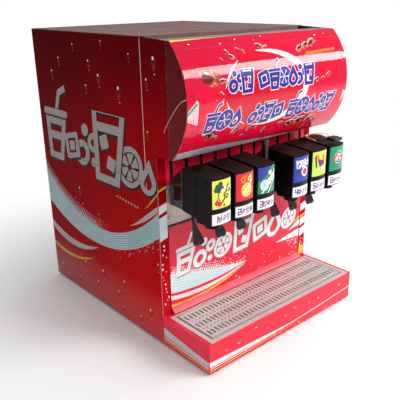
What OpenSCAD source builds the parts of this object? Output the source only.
// Countertop fountain soda dispenser with six push-lever valves, a centre tap, a curved light-box canopy,
// a drip tray and an ice-bank cooler. Millimetres, +X to the right, +Y to the rear, +Z up.
// Origin: centre of the whole footprint, on the surface the feet stand on.

/* [Cabinet] */
// Outside width of the cabinet
cab_w = 570; // [560:1:580]
// Depth of the cabinet, without the drip tray
cab_d = 580; // [575:1:600]
// Height of the cabinet shell, without the feet and the lid
cab_h = 783; // [781:1:786]
// Height of the seam between the lower and the upper side panels
split_h = 437; // [436:0.5:438]
// Width of the front pillars
pillar_w = 25.5; // [24:0.5:26]
// Distance of the bonnet's front edge behind the front plane
bonnet_y = 45; // [42:1:46]
// Thickness of the painted sheet metal
sheet = 1.5; // [1:0.1:2]
// Gap left open at the panel seams
seam = 0.6; // [0.3:0.1:1]
// Height of the rubber feet
foot_h = 6; // [3:0.5:12]

/* [Canopy] */
// Radius of the curved canopy face
canopy_r = 179; // [177:0.5:182]
// Distance of the curve's axis behind the front plane
canopy_y = 60; // [58:0.5:62]
// Height of the curve's axis
canopy_z = 648; // [646:0.5:650]
// Height of the canopy's lower edge
canopy_lo = 516; // [512:0.5:520]
// Height of the canopy's upper edge
canopy_hi = 779; // [777:0.5:780]
// Distance of the hood's straight front edge in front of the front plane
hood_d = 49; // [46:0.5:52]
// Number of vent slots behind the valves
vent_n = 11; // [5:1:11]
// Pitch of the vent slots
vent_pitch = 48.1; // [44:0.1:49]
// Width of a vent slot
vent_w = 11.5; // [6:0.5:16]

/* [Valves] */
// Width of a valve cover
valve_w = 64; // [60:0.5:66]
// Pitch of the valves within a group of three
valve_pitch = 75.1; // [74:0.1:76]
// Extra gap between the two groups of valves
group_gap = 57.7; // [52:0.1:58]
// Radius of the bowed front of a valve cover
bow_r = 85; // [80:1:120]
// Radius of a nozzle at its mouth
nozzle_r = 19; // [16:0.5:20]
// Radius of the lever pins
pin_r = 2; // [1.5:0.1:2.4]
// Running clearance around every pin and shaft
run_gap = 0.05; // [0.02:0.01:0.09]
// Length of a cup lever below its pin
lever_l = 88; // [70:1:92]
// Half width of a cup lever's paddle
paddle_w = 19; // [14:0.5:22]

/* [Drip tray] */
// Depth of the drip tray in front of the cabinet
tray_d = 180; // [178:1:190]
// Height of the drip tray housing
tray_h = 82; // [81:0.5:83]
// Number of slot columns in the cup rest
rest_n = 40; // [20:1:40]
// Pitch of the slot columns
rest_pitch = 12.6; // [12:0.1:12.6]
// Length of a slot
slot_l = 21; // [14:0.5:23]
// Width of a slot and of a drain hole
slot_w = 4.5; // [3:0.1:6]

/* [Cooler] */
// Half width of the foam around the water bath
foam_w = 250; // [246:1:252]
// Thickness of the foam
foam_t = 28; // [22:1:30]
// Height of the refrigeration deck
deck_z = 454; // [454:0.5:458]
// Radius of the evaporator coil
evap_r = 185; // [175:1:188]
// Radius of the fan blades
fan_r = 94; // [80:1:96]
// Height of the fan's axis
fan_z = 588; // [584:1:592]
// Radius of the inlet stubs, for 3/8 inch tube
stub_r = 4.76; // [4:0.01:5]
// Pitch of the inlet stubs
stub_pitch = 24; // [22:0.5:24]

/* [Hidden] */
$fn = 48;
half = cab_w / 2;
rear_y = (cab_d + tray_d) / 2;
front_y = rear_y - cab_d;
fit = 0.3; // gap left between neighbouring sheets
skin_x = half - sheet; // inner face of a side panel
bay_x = half - pillar_w; // edge of the opening between the pillars
valve_x = [for (i = [0:5]) (i - 2.5) * valve_pitch + (i < 3 ? -1 : 1) * group_gap / 2];
cover_x = valve_w / 2;
plate_lo = 332; // lower edge of the valve plate
block_d = 47; // depth of a valve's mounting block
cover_d = 148; // distance of a cover's side edges in front of the front plane
cover_nose = cover_d + bow_r - sqrt(bow_r * bow_r - cover_x * cover_x);
bow_y = bow_r - cover_nose;
nozzle_y = -120;
nozzle_lo = 354;
pin_y = -42;
pin_z = 377;
port_x = 14; // half distance between a valve's two product ports
port_z = 410;
port_r = 4; // radius of a product tube
line_in = 0.93; // how far the product lines close in above the bath, as a share of their place at the valves
line_y = 60; // where the product lines go down into the bath
line_z = 463; // height at which the product lines cross the deck
tap_y = -84;
tap_pin_z = 427;
tap_pin_r = 2.5;
tap_z = 395;
pan_x = 262.8; // inner half width of the drip pan
pan_front = 165.8;
pan_rear = 20.2;
pan_t = 1.2;
drain_x = 65;
drain_z = 14;
bath_y = 246; // centre of the water bath
bath_d = 224; // half depth of the foam around the bath
deck_t = 3;
deck_top = deck_z + deck_t;
mixer_x = -55; // axis of the agitator
mixer_r = 4;
carb_x = 48; // axis of the carbonator tank
fan_y = 88; // middle plane of the fan
shaft_r = 3.5;
pocket_x = [-230, -20]; // inlet pocket in the rear panel
pocket_z = [40, 100];
pocket_y = 538;
socket_x = 150;
socket_z = 300;
switch_x = 205;
switch_y = 573;
switch_tilt = 7;
lid_gap = 0.2;

// ---- Helpers ----

// Places its children from the front plane and the underside of the cabinet
module cab() {
    translate([0, front_y, foot_h]) children();
}

// Box between its low and its high corner
module block(lo, hi) {
    translate(lo) cube(hi - lo);
}

// Rod along X, Y or Z from point p, over length l
module rod_x(p, r, l) {
    translate(p) rotate([0, 90, 0]) cylinder(r = r, h = l);
}
module rod_y(p, r, l) {
    translate(p) rotate([-90, 0, 0]) cylinder(r = r, h = l);
}
module rod_z(p, r, l) {
    translate(p) cylinder(r = r, h = l);
}

// Outline of (y, z) points drawn out along X from x0 to x1
module side_profile(points, x0, x1) {
    translate([x0, 0, 0]) rotate([90, 0, 90]) linear_extrude(x1 - x0) polygon(points);
}

// Tube bent through a list of points, each leg along one axis
module pipe_run(points, r) {
    for (i = [0:len(points) - 2]) {
        leg = points[i + 1] - points[i];
        low = [for (k = [0:2]) min(points[i][k], points[i + 1][k])];
        if (leg[0] != 0) rod_x(low, r, abs(leg[0]));
        if (leg[1] != 0) rod_y(low, r, abs(leg[1]));
        if (leg[2] != 0) rod_z(low, r, abs(leg[2]));
    }
    for (i = [1:len(points) - 2]) translate(points[i]) sphere(r = r);
}

// Flat coil of one turn
module turn(r, tube_r, z) {
    translate([0, 0, z]) rotate_extrude() translate([r, 0]) circle(r = tube_r);
}

// Both the left and the right copy of its children
module both_sides() {
    children();
    mirror([1, 0, 0]) children();
}

// Its children once at each valve
module each_valve() {
    for (x = valve_x) translate([x, 0, 0]) children();
}

// ---- Cabinet ----

module base_pan() {
    x = skin_x - fit;
    color("gray") cab() difference() {
        block([-x, sheet + fit, 0], [x, cab_d - 3, 26]);
        block([-x + 2, sheet + fit + 2, 2], [x - 2, cab_d - 5, 27]);
        rod_y([drain_x, -5, drain_z], 9, 20);
        block([drain_x - 25, cab_d - 10, 2], [drain_x + 25, cab_d, 30]);
    }
}

module feet() {
    color("black") cab() {
        for (x = [-250, 250], y = [40, 540]) {
            translate([x, y, -foot_h]) cylinder(r1 = 15, r2 = 17, h = foot_h);
        }
        for (x = [-255, -85, 85, 255]) {
            translate([x, -168, -foot_h]) cylinder(r1 = 8, r2 = 9.5, h = foot_h);
        }
    }
}

// Left lower side panel with its folded front pillar
module lower_side() {
    top = split_h - seam / 2;
    block([-half, 0, 0], [-skin_x, cab_d, top]);
    block([-half, 0, 0], [-bay_x, sheet, top]);
    block([-bay_x - sheet, 0, tray_h + 4], [-bay_x, 18, top]);
}

module left_side_panel() {
    color("firebrick") cab() lower_side();
}

module right_side_panel() {
    color("firebrick") cab() mirror([1, 0, 0]) lower_side();
}

module rear_panel() {
    x = skin_x - fit;
    y = cab_d - 3;
    color("firebrick") cab() difference() {
        union() {
            block([-x, y, 1], [x, y + sheet, split_h - 1]);
            block([pocket_x[0], pocket_y, pocket_z[0]], [pocket_x[1], y + sheet, pocket_z[1]]);
        }
        block([pocket_x[0] + 2, pocket_y + 2, pocket_z[0] + 2], [pocket_x[1] - 2, cab_d, pocket_z[1] - 2]);
        for (i = [0:7]) rod_y([stub_x(i), pocket_y - 1, 70], stub_r + 0.2, 5);
        block([drain_x - 25, y - 1, 0], [drain_x + 25, cab_d, 34]);
        block([socket_x - 24, y - 1, socket_z - 14], [socket_x + 24, cab_d, socket_z + 14]);
        block([switch_x - 9, y - 1, socket_z - 16], [switch_x + 9, cab_d, socket_z + 16]);
        for (p = rear_screws()) rod_y([p[0], y - 1, p[1]], 2.2, 5);
    }
}

module bonnet_shell() {
    lo = split_h + seam / 2;
    y0 = bonnet_y + seam / 2;
    color("firebrick") cab() difference() {
        block([-half, y0, lo], [half, cab_d, cab_h]);
        block([-skin_x, y0 - 1, lo - 1], [skin_x, cab_d - sheet, cab_h - sheet]);
        block([-half + 16, y0 - 1, cab_h - 5], [half - 16, cab_d - 16, cab_h + 1]);
        for (x = [-130, 130], i = [0:11]) {
            block([x - 95, cab_d - 5, 490 + 20 * i], [x + 95, cab_d + 1, 498 + 20 * i]);
        }
    }
}

module hood_frame() {
    y1 = bonnet_y - seam / 2;
    lo = split_h + seam / 2;
    cheek = [[y1, cab_h], [-hood_d, canopy_hi], [-hood_d, canopy_lo], [0, canopy_lo], [0, lo], [y1, lo]];
    color("firebrick") cab() {
        side_profile(cheek, -half, -skin_x);
        side_profile(cheek, skin_x, half);
        both_sides() block([-half, 0, lo], [-bay_x, sheet, 762]);
        block([-skin_x, 0, 762], [skin_x, y1, 762 + sheet]);
    }
}

module vent_panel() {
    x = bay_x - fit;
    color("crimson") cab() difference() {
        block([-x, 0, split_h + 1], [x, 1.2, 761]);
        for (i = [0:vent_n - 1]) {
            translate([vent_slot_x(i), 0, 0]) block([-vent_w / 2, -1, split_h + 10], [vent_w / 2, 3, 690]);
        }
    }
}

module air_filter() {
    color("black") cab() block([-bay_x + 9, 3, split_h + 5], [bay_x - 9, 12, 700]);
}

module valve_plate() {
    x = bay_x - 0.5;
    color("silver") cab() difference() {
        block([-x, 0, plate_lo], [x, 2, split_h - 0.5]);
        each_valve() {
            for (s = [-1, 1]) rod_y([s * port_x, -1, port_z], port_r + 0.5, 4);
        }
        rod_y([0, -1, tap_z], 10.5, 4);
        for (p = plate_screws()) rod_y([p[0], -1, p[1]], 2.2, 4);
    }
}

module plate_gasket() {
    x = bay_x - 0.5;
    color("black") cab() block([-x, -0.8, plate_lo - 6], [x, 1.8, plate_lo - 0.1]);
}

// Pan head screw along +Y, with the underside of its head at the origin
module screw() {
    rod_y([0, -2.4, 0], 4, 2.4);
    rod_y([0, 0, 0], 2, 8);
}

module panel_screws() {
    color("silver") cab() {
        for (p = plate_screws()) translate([p[0], 0, p[1]]) screw();
        for (p = rear_screws()) translate([p[0], cab_d - 3 + sheet, p[1]]) mirror([0, 1, 0]) screw_flat();
        for (x = rail_screws()) translate([x, -30, canopy_hi - 0.2]) rotate([-90, 0, 0]) screw_flat();
    }
}

// Low head screw along +Y
module screw_flat() {
    rod_y([0, -1.4, 0], 4.5, 1.4);
    rod_y([0, 0, 0], 2, 6);
}

// ---- Canopy ----

module canopy_end_caps() {
    color("maroon") cab() both_sides() intersection() {
        rod_x([-half, canopy_y, canopy_z], canopy_r - 2 - fit, 3);
        block([-half, canopy_y - canopy_r, canopy_lo], [-half + 3, -hood_d - fit, canopy_hi]);
    }
}

module canopy_sheet() {
    color("crimson") cab() {
        intersection() {
            difference() {
                rod_x([-half, canopy_y, canopy_z], canopy_r, cab_w);
                rod_x([-half - 1, canopy_y, canopy_z], canopy_r - 2, cab_w + 2);
            }
            block([-half, canopy_y - canopy_r - 1, canopy_lo], [half, -hood_d - 2, canopy_hi]);
        }
        block([-half + 4, -59.5, canopy_lo], [half - 4, -hood_d - 1, canopy_lo + 1.5]);
    }
}

module canopy_top_rail() {
    x = half - 3 - fit;
    top = canopy_hi - 0.2;
    color("lightgray") cab() difference() {
        union() {
            block([-x, -57, top - sheet], [x, -5, top]);
            block([-x, -5 - sheet, 765], [x, -5, top]);
        }
        for (s = rail_screws()) rod_z([s, -30, top - 5], 2.2, 10);
    }
}

module lamp_tube() {
    color("white") cab() rod_x([-236, -60, canopy_z], 13, 472);
}

module lamp_tray() {
    x = skin_x - fit;
    color("whitesmoke") cab() {
        block([-x, -22, canopy_z - 58], [x, -20.5, canopy_z + 58]);
        both_sides() block([-250, -78, canopy_z - 18], [-236.2, -22, canopy_z + 18]);
    }
}

// ---- Valves ----

module valve_backblocks() {
    x = cover_x - 0.5;
    outline = [[0, 385], [0, 448], [-block_d, 488], [-block_d, 383]];
    color("black") cab() each_valve() {
        difference() {
            side_profile(outline, -x, x);
            for (s = [-1, 1]) rod_y([s * port_x, -block_d - 1, port_z], port_r + 0.3, block_d + 2);
        }
        both_sides() difference() {
            block([6.5, -block_d, pin_z - 6], [9.5, -block_d + 11, 384.5]);
            rod_x([6, pin_y, pin_z], pin_r, 4);
        }
    }
}

module valve_bodies() {
    color("gray") cab() each_valve() difference() {
        union() {
            block([-27, -141, 388], [27, -block_d - 1, 436]);
            for (s = [-1, 1]) rod_z([13 * s, -126, 436], 7, 26);
        }
        for (s = [-1, 1]) rod_y([s * port_x, -70, port_z], port_r, 30);
    }
}

module valve_solenoids() {
    color("goldenrod") cab() each_valve() {
        for (s = [-1, 1]) rod_z([13 * s, -86, 436], 12, 38);
    }
}

// Outer form of a valve cover, with the bow of radius r and half width x
module cover_form(outline, r, x) {
    intersection() {
        side_profile(outline, -x, x);
        rod_z([0, bow_y, 300], r, 250);
    }
}

module valve_covers() {
    outer = [[-block_d - 1, 489], [-100, 486], [-170, 480.6], [-170, 369], [-100, 366], [-95, 376],
             [-block_d - 1, 382]];
    inner = [[-block_d, 487], [-100, 484], [-170, 478.6], [-170, 300], [-block_d, 300]];
    color("black") cab() each_valve() difference() {
        cover_form(outer, bow_r, cover_x);
        cover_form(inner, bow_r - 2, cover_x - 2);
        block([-40, -101, 485.3], [40, -99.8, 495]);
        both_sides() block([cover_x - 0.7, -101, 350], [cover_x + 1, -99.8, 495]);
    }
}

// Thin skin on the bowed front of a cover, between two heights
module front_skin(x, lo, hi, t) {
    difference() {
        intersection() {
            rod_z([0, bow_y, lo], bow_r + t, hi - lo);
            block([-x, -cover_nose - 5, lo], [x, -130, hi]);
        }
        rod_z([0, bow_y, lo - 1], bow_r, hi - lo + 2);
    }
}

module flavour_labels() {
    color("gold") cab() each_valve() front_skin(29.1, 410.5, 478.5, 0.6);
}

module name_cards() {
    color("white") cab() each_valve() front_skin(29.1, 371, 398, 0.8);
}

module valve_nozzles() {
    wall = [[nozzle_r, nozzle_lo], [nozzle_r + 1, 388], [nozzle_r - 1, 388], [nozzle_r - 2.2, nozzle_lo]];
    color("dimgray") cab() each_valve() {
        translate([0, nozzle_y, 0]) rotate_extrude() polygon(wall);
    }
}

module nozzle_diffusers() {
    color("dimgray") cab() each_valve() {
        rod_z([0, nozzle_y, 360], 12, 16);
        rod_z([0, nozzle_y, 376], 6, 12);
    }
}

module pivot_pins() {
    color("silver") cab() {
        each_valve() rod_x([-10, pin_y, pin_z], pin_r, 20);
        rod_x([-10.5, tap_y, tap_pin_z], tap_pin_r, 21);
    }
}

module lever_springs() {
    coil_r = pin_r + 1.4;
    color("silver") cab() each_valve() {
        translate([5.3, pin_y, pin_z]) rotate([0, 90, 0]) turn(coil_r, 0.6, 0);
        rod_z([5.3, pin_y - coil_r, pin_z], 0.5, 5.6);
    }
}

// Cup lever: a hub on its pin, and an arm that leans forward and widens to a paddle
module cup_lever(i) {
    lean = function (t) -27 * pow(t, 1.25);
    back = [for (t = [0:0.1:1]) [lean(t) + 2, -lever_l * t]];
    front = [for (t = [1:-0.1:0]) [lean(t) - 2, -lever_l * t]];
    wide = [[4, 0], [4.5, -22], [8, -42], [13, -60], [paddle_w, -80], [paddle_w - 1, -lever_l + 2],
            [paddle_w - 4, -lever_l]];
    outline = concat(wide, [for (k = [len(wide) - 1:-1:0]) [-wide[k][0], wide[k][1]]]);
    color("black") cab() translate([valve_x[i], pin_y, pin_z]) difference() {
        union() {
            rod_x([-4, 0, 0], 5, 8);
            intersection() {
                side_profile(concat(back, front), -30, 30);
                translate([0, 30, 0]) rotate([90, 0, 0]) linear_extrude(90) polygon(outline);
            }
        }
        rod_x([-30, 0, 0], pin_r + run_gap, 60);
    }
}

module cup_lever_1() {
    cup_lever(0);
}
module cup_lever_2() {
    cup_lever(1);
}
module cup_lever_3() {
    cup_lever(2);
}
module cup_lever_4() {
    cup_lever(3);
}
module cup_lever_5() {
    cup_lever(4);
}
module cup_lever_6() {
    cup_lever(5);
}

// Loose connector and its two wires on top of the last valve's cover
module valve_lead() {
    x = valve_x[5];
    color("black") cab() {
        block([x - 14, -152, 490], [x + 20, -122, 501]);
        pipe_run([[x - 6, -124, 495], [x - 6, -64, 495], [x - 30, -64, 495], [x - 30, -64, 491]], 1.6);
        pipe_run([[x - 10, -130, 499], [x - 10, -84, 499], [x - 34, -84, 499], [x - 34, -84, 491]], 1.6);
    }
}

// ---- Centre tap ----

module tap_body() {
    color("black") cab() difference() {
        union() {
            rod_y([0, tap_y, tap_z], 9, 104);
            rod_y([0, -4, tap_z], 16, 4);
            rod_z([0, tap_y, 368], 14, 50);
            rod_z([0, tap_y, 344], 8, 30);
            both_sides() {
                block([7, tap_y - 6.5, 410], [10, tap_y + 6.5, tap_pin_z]);
                rod_x([7, tap_y, tap_pin_z], 6.5, 3);
            }
        }
        rod_z([0, tap_y, 343], 5, 30);
        rod_x([-12, tap_y, tap_pin_z], tap_pin_r, 24);
    }
}

module tap_handle() {
    color("black") cab() translate([0, tap_y, tap_pin_z]) difference() {
        union() {
            rod_x([-6.5, 0, 0], 6, 13);
            block([-5, -4, 0], [5, 4, 14]);
            translate([0, 0, 13]) cylinder(r1 = 8.5, r2 = 10, h = 78);
            translate([0, 0, 91]) scale([1, 1, 0.5]) sphere(r = 10);
        }
        rod_x([-8, 0, 0], tap_pin_r + run_gap, 16);
    }
}

// ---- Drip tray ----

module tray_housing() {
    y0 = -tray_d;
    y1 = -fit;
    color("crimson") cab() difference() {
        block([-half, y0, 0], [half, y1, tray_h]);
        block([-skin_x, y0 + sheet, sheet], [skin_x, y1 - sheet, tray_h - sheet]);
        block([-pan_x - 3, -pan_front - 3, tray_h - 9], [pan_x + 3, -pan_rear + 4, tray_h + 1]);
        rod_y([drain_x, -5, drain_z], 9, 10);
    }
}

// Hollow between the pan's walls, from height lo to height hi
module pan_space(inset, lo, hi) {
    block([-pan_x + inset, -pan_front + inset, lo], [pan_x - inset, -pan_rear - inset, hi]);
}

module drip_pan() {
    rim = tray_h + 1;
    color("silver") cab() difference() {
        union() {
            block([-275, -tray_d + 2, tray_h], [275, -16, rim]);
            pan_space(-pan_t, 44, rim);
            rod_z([drain_x, -60, 24], 8, 21);
        }
        difference() {
            pan_space(0, 45.2, rim + 1);
            difference() {
                pan_space(-1, tray_h - 7.2, tray_h - 6);
                pan_space(9, 40, rim);
            }
        }
        rod_z([drain_x, -60, 20], 6.5, 30);
    }
}

module cup_rest() {
    top = tray_h + 2.2;
    color("silver") cab() difference() {
        pan_space(5.8, tray_h - 6, top);
        pan_space(7, tray_h - 7, top - 1.2);
        for (i = [0:rest_n - 1]) translate([rest_col_x(i), 0, 0]) {
            for (y = [-50, -94, -138]) {
                block([-slot_w / 2, y - slot_l / 2, tray_h], [slot_w / 2, y + slot_l / 2, top + 1]);
            }
            for (y = [-72, -116]) rod_z([0, y, tray_h], slot_w / 2, 4);
        }
    }
}

module drain_hose() {
    color("dimgray") cab() difference() {
        union() {
            rod_z([drain_x, -60, 6], 12, 26);
            rod_y([drain_x, -60, drain_z], 7, 600);
            rod_y([drain_x, 535, drain_z], 8, 37);
        }
        rod_z([drain_x, -60, 12], 9.5, 30);
        rod_y([drain_x, -60, drain_z], 5, 640);
    }
}

module splash_panel() {
    x = bay_x - 3;
    top = plate_lo - 7;
    outline = [[0, top], [0, 98.5], [-13.6, 85], [-12.8, 84.2], [1.2, 98], [1.2, top]];
    color("crimson") cab() {
        side_profile(outline, -x, x);
        rod_x([-x, 0.6, top], 0.8, 2 * x); // hemmed edge that hooks behind the valve plate
        both_sides() block([-x, 0.6, 110], [-x + 1.2, 13, plate_lo - 24]);
    }
}

// ---- Cooler ----

module tank_insulation() {
    color("khaki") cab() difference() {
        block([-foam_w, bath_y - bath_d, 28], [foam_w, bath_y + bath_d, deck_z - 2]);
        block([-foam_w + foam_t, bath_y - bath_d + foam_t, 28 + foam_t],
              [foam_w - foam_t, bath_y + bath_d - foam_t, deck_z]);
    }
}

module tank_liner() {
    x = foam_w - foam_t - 0.2;
    y = bath_d - foam_t - 0.2;
    lo = 28 + foam_t + 0.2;
    color("silver") cab() difference() {
        union() {
            block([-x, bath_y - y, lo], [x, bath_y + y, deck_z - 1]);
            block([-x - 14, bath_y - y - 14, deck_z - 1.8], [x + 14, bath_y + y + 14, deck_z - 0.4]);
        }
        block([-x + 1.2, bath_y - y + 1.2, lo + 1.2], [x - 1.2, bath_y + y - 1.2, deck_z + 1]);
    }
}

module evaporator_coil() {
    color("peru") cab() translate([0, bath_y, 0]) {
        for (i = [0:10]) turn(evap_r, 5, 110 + 26 * i);
        for (s = [-1, 1]) rod_z([s * evap_r, 0, 110], 5, 370);
    }
}

module product_coils() {
    color("silver") cab() {
        translate([0, bath_y, 0]) for (r = [155, 125]) {
            for (i = [0:11]) turn(r, port_r, 110 + 22 * i);
            rod_z([0, -r, 108], port_r + 1, 246);
        }
        for (v = valve_x, s = [-1, 1]) {
            x = v + s * port_x;
            over = line_in * x;
            pipe_run([[x, -8, port_z], [x, 17, port_z], [x, 17, line_z], [over, 17, line_z],
                      [over, line_y, line_z], [over, line_y, 400]], port_r);
        }
    }
}

module carbonator_tank() {
    color("silver") cab() translate([carb_x, bath_y, 0]) {
        intersection() {
            rod_z([0, 0, 130], 46, 290);
            translate([0, 0, 275]) sphere(r = 149);
        }
        for (y = [-18, 18]) rod_z([0, y, 400], 4.5, 74);
    }
}

module refrigeration_deck() {
    y0 = bath_y - bath_d;
    color("lightgray") cab() difference() {
        block([-foam_w, y0, deck_z], [foam_w, bath_y + bath_d, deck_top]);
        rod_z([mixer_x, bath_y, deck_z - 1], 10, 6);
        for (s = [-1, 1]) rod_z([s * evap_r, bath_y, deck_z - 1], 6, 6);
        for (y = [-18, 18]) rod_z([carb_x, bath_y + y, deck_z - 1], 5.5, 6);
        for (v = valve_x, s = [-1, 1]) rod_z([line_in * (v + s * port_x), line_y, deck_z - 1], 5, 6);
    }
}

module agitator_motor() {
    color("dimgray") cab() translate([mixer_x, bath_y, deck_top]) difference() {
        union() {
            cylinder(r = 45, h = 4);
            cylinder(r = 38, h = 75);
        }
        rod_z([0, 0, -1], mixer_r + run_gap, 25);
    }
}

module agitator_shaft() {
    color("silver") cab() translate([mixer_x, bath_y, 0]) {
        rod_z([0, 0, 200], mixer_r, deck_top - 184);
        rod_z([0, 0, 200], 9, 18);
        for (i = [0:2]) rotate(120 * i) translate([16, 0, 209]) rotate([35, 0, 0]) {
            cube([24, 14, 2], center = true);
        }
    }
}

module compressor() {
    color("black") cab() translate([142, 345, 0]) {
        intersection() {
            rod_z([0, 0, deck_top + 8], 72, 175);
            translate([0, 0, deck_top + 60]) sphere(r = 115);
        }
        for (x = [-60, 60], y = [-60, 60]) rod_z([x, y, deck_top], 14, 8);
        block([-68, -68, deck_top + 8], [68, 68, deck_top + 12]);
        block([40, -76, deck_top + 50], [68, -50, deck_top + 90]);
    }
}

module condenser() {
    color("silver") cab() {
        for (i = [-14:14]) block([14 * i - 0.6, 26, 475], [14 * i + 0.6, 60, 700]);
        both_sides() block([-200, 26, deck_top], [-198, 60, 702]);
        for (i = [0:7]) rod_x([-205, 43, 490 + 28 * i], 5, 410);
    }
}

module fan_shroud() {
    ring_r = fan_r + 4;
    y0 = fan_y - 18;
    color("gray") cab() difference() {
        union() {
            block([-205, y0, deck_top + 10], [205, y0 + 2, 705]);
            rod_y([0, y0, fan_z], ring_r + 2, 30);
            block([-205, y0, deck_top], [205, y0 + 20, deck_top + 2]);
            both_sides() rod_y([ring_r + 10, y0, fan_z], 4, 34);
            block([-ring_r - 18, y0 + 32, fan_z - 8], [ring_r + 18, y0 + 34, fan_z + 8]);
            block([-205, y0, deck_top], [205, y0 + 2, deck_top + 12]);
        }
        rod_y([0, y0 - 1, fan_z], ring_r, 32);
        rod_y([0, y0 + 30, fan_z], 7, 6);
    }
}

module fan_motor() {
    y0 = fan_y + 16.2;
    color("dimgray") cab() difference() {
        rod_y([0, y0, fan_z], 34, 52);
        rod_y([0, y0 - 1, fan_z], shaft_r + run_gap, 24);
    }
}

module fan_blades() {
    color("darkgray") cab() translate([0, fan_y, fan_z]) {
        rod_y([0, -8, 0], 22, 16);
        rod_y([0, 0, 0], shaft_r, 34);
        for (i = [0:4]) rotate([0, 72 * i, 0]) translate([(fan_r + 18) / 2, 0, 0]) rotate([-28, 0, 0]) {
            cube([fan_r - 22, 1.6, 34], center = true);
        }
    }
}

module control_box() {
    color("lightgray") cab() {
        block([-240, 340, deck_top], [-120, 470, deck_top + 130]);
        rod_z([-180, 405, deck_top + 130], 14, 12);
    }
}

module water_pump() {
    color("steelblue") cab() {
        rod_x([90, 522, 78], 40, 120);
        rod_x([60, 522, 78], 24, 34);
        rod_z([75, 522, 90], 8, 40);
        block([100, 490, 2], [200, 554, 45]);
    }
}

module inlet_fittings() {
    color("silver") cab() for (i = [0:7]) translate([stub_x(i), 0, 70]) {
        rod_y([0, pocket_y - 22, 0], stub_r, 58);
        rotate([-90, 0, 0]) translate([0, 0, pocket_y + 2]) cylinder(r = 9, h = 6, $fn = 6);
    }
}

module power_inlet() {
    y = cab_d - sheet;
    color("black") cab() difference() {
        union() {
            block([socket_x - 32, y, socket_z - 19], [switch_x + 15, y + 1.3, socket_z + 19]);
            block([socket_x - 23.5, y - 30, socket_z - 13.5], [socket_x + 23.5, y + 1, socket_z + 13.5]);
            block([switch_x - 8.5, y - 20, socket_z - 15.5], [switch_x + 8.5, y + 1, socket_z + 15.5]);
        }
        difference() {
            block([socket_x - 12, y - 16, socket_z - 8], [socket_x + 12, y + 5, socket_z + 8]);
            for (p = [[-7, -2], [0, 3], [7, -2]]) {
                translate([socket_x + p[0], 0, socket_z + p[1]]) block([-1, y - 20, -2], [1, y - 4, 2]);
            }
        }
        block([switch_x - 6.5, y - 18, socket_z - 13], [switch_x + 6.5, y + 5, socket_z + 13]);
        rod_x([switch_x - 8, switch_y, socket_z], 1.5 + run_gap, 16);
    }
}

module power_switch() {
    rocker = [[-3, -9], [3.2, -10], [4.4, 0], [3.2, 10], [-3, 9]];
    color("black") cab() translate([switch_x, switch_y, socket_z]) rotate([-switch_tilt, 0, 0]) {
        side_profile(rocker, -6, 6);
        rod_x([-7.6, 0, 0], 1.5, 15.2);
    }
}

module top_lid() {
    x = half - 17;
    z = cab_h + lid_gap;
    color("lightgray") cab() {
        block([-half + 1, bonnet_y + 1, z], [half - 1, cab_d - 1, z + sheet]);
        difference() {
            block([-x, bonnet_y + 1, z - 12], [x, cab_d - 17, z + 0.5]);
            block([-x + 1.2, bonnet_y + 2.2, z - 13], [x - 1.2, cab_d - 18.2, z + 1]);
        }
    }
}

// ---- Positions that several sub-parts share ----

function vent_slot_x(i) = (i - (vent_n - 1) / 2) * vent_pitch - 1;
function stub_x(i) = pocket_x[0] + 21 + stub_pitch * i;
function rest_col_x(i) = (i - (rest_n - 1) / 2) * rest_pitch + (i > 0.77 * rest_n ? 1.8 : -1.8);
function plate_screws() = [for (x = [-bay_x + 6.5, bay_x - 6.5], z = [351, 421]) [x, z]];
function rear_screws() = [for (x = [-270, 0, 270], z = [40, 220, 420]) [x, z]];
function rail_screws() = [-168, -56, 56, 168];

base_pan();
feet();
left_side_panel();
right_side_panel();
rear_panel();
bonnet_shell();
hood_frame();
vent_panel();
air_filter();
valve_plate();
plate_gasket();
panel_screws();
canopy_end_caps();
canopy_sheet();
canopy_top_rail();
lamp_tube();
lamp_tray();
valve_backblocks();
valve_bodies();
valve_solenoids();
valve_covers();
valve_nozzles();
nozzle_diffusers();
pivot_pins();
lever_springs();
flavour_labels();
name_cards();
tap_body();
tap_handle();
tray_housing();
drip_pan();
cup_rest();
drain_hose();
splash_panel();
tank_liner();
tank_insulation();
evaporator_coil();
product_coils();
carbonator_tank();
refrigeration_deck();
agitator_motor();
agitator_shaft();
compressor();
condenser();
fan_shroud();
fan_motor();
fan_blades();
control_box();
water_pump();
inlet_fittings();
power_inlet();
power_switch();
top_lid();
valve_lead();
cup_lever_1();
cup_lever_2();
cup_lever_3();
cup_lever_4();
cup_lever_5();
cup_lever_6();
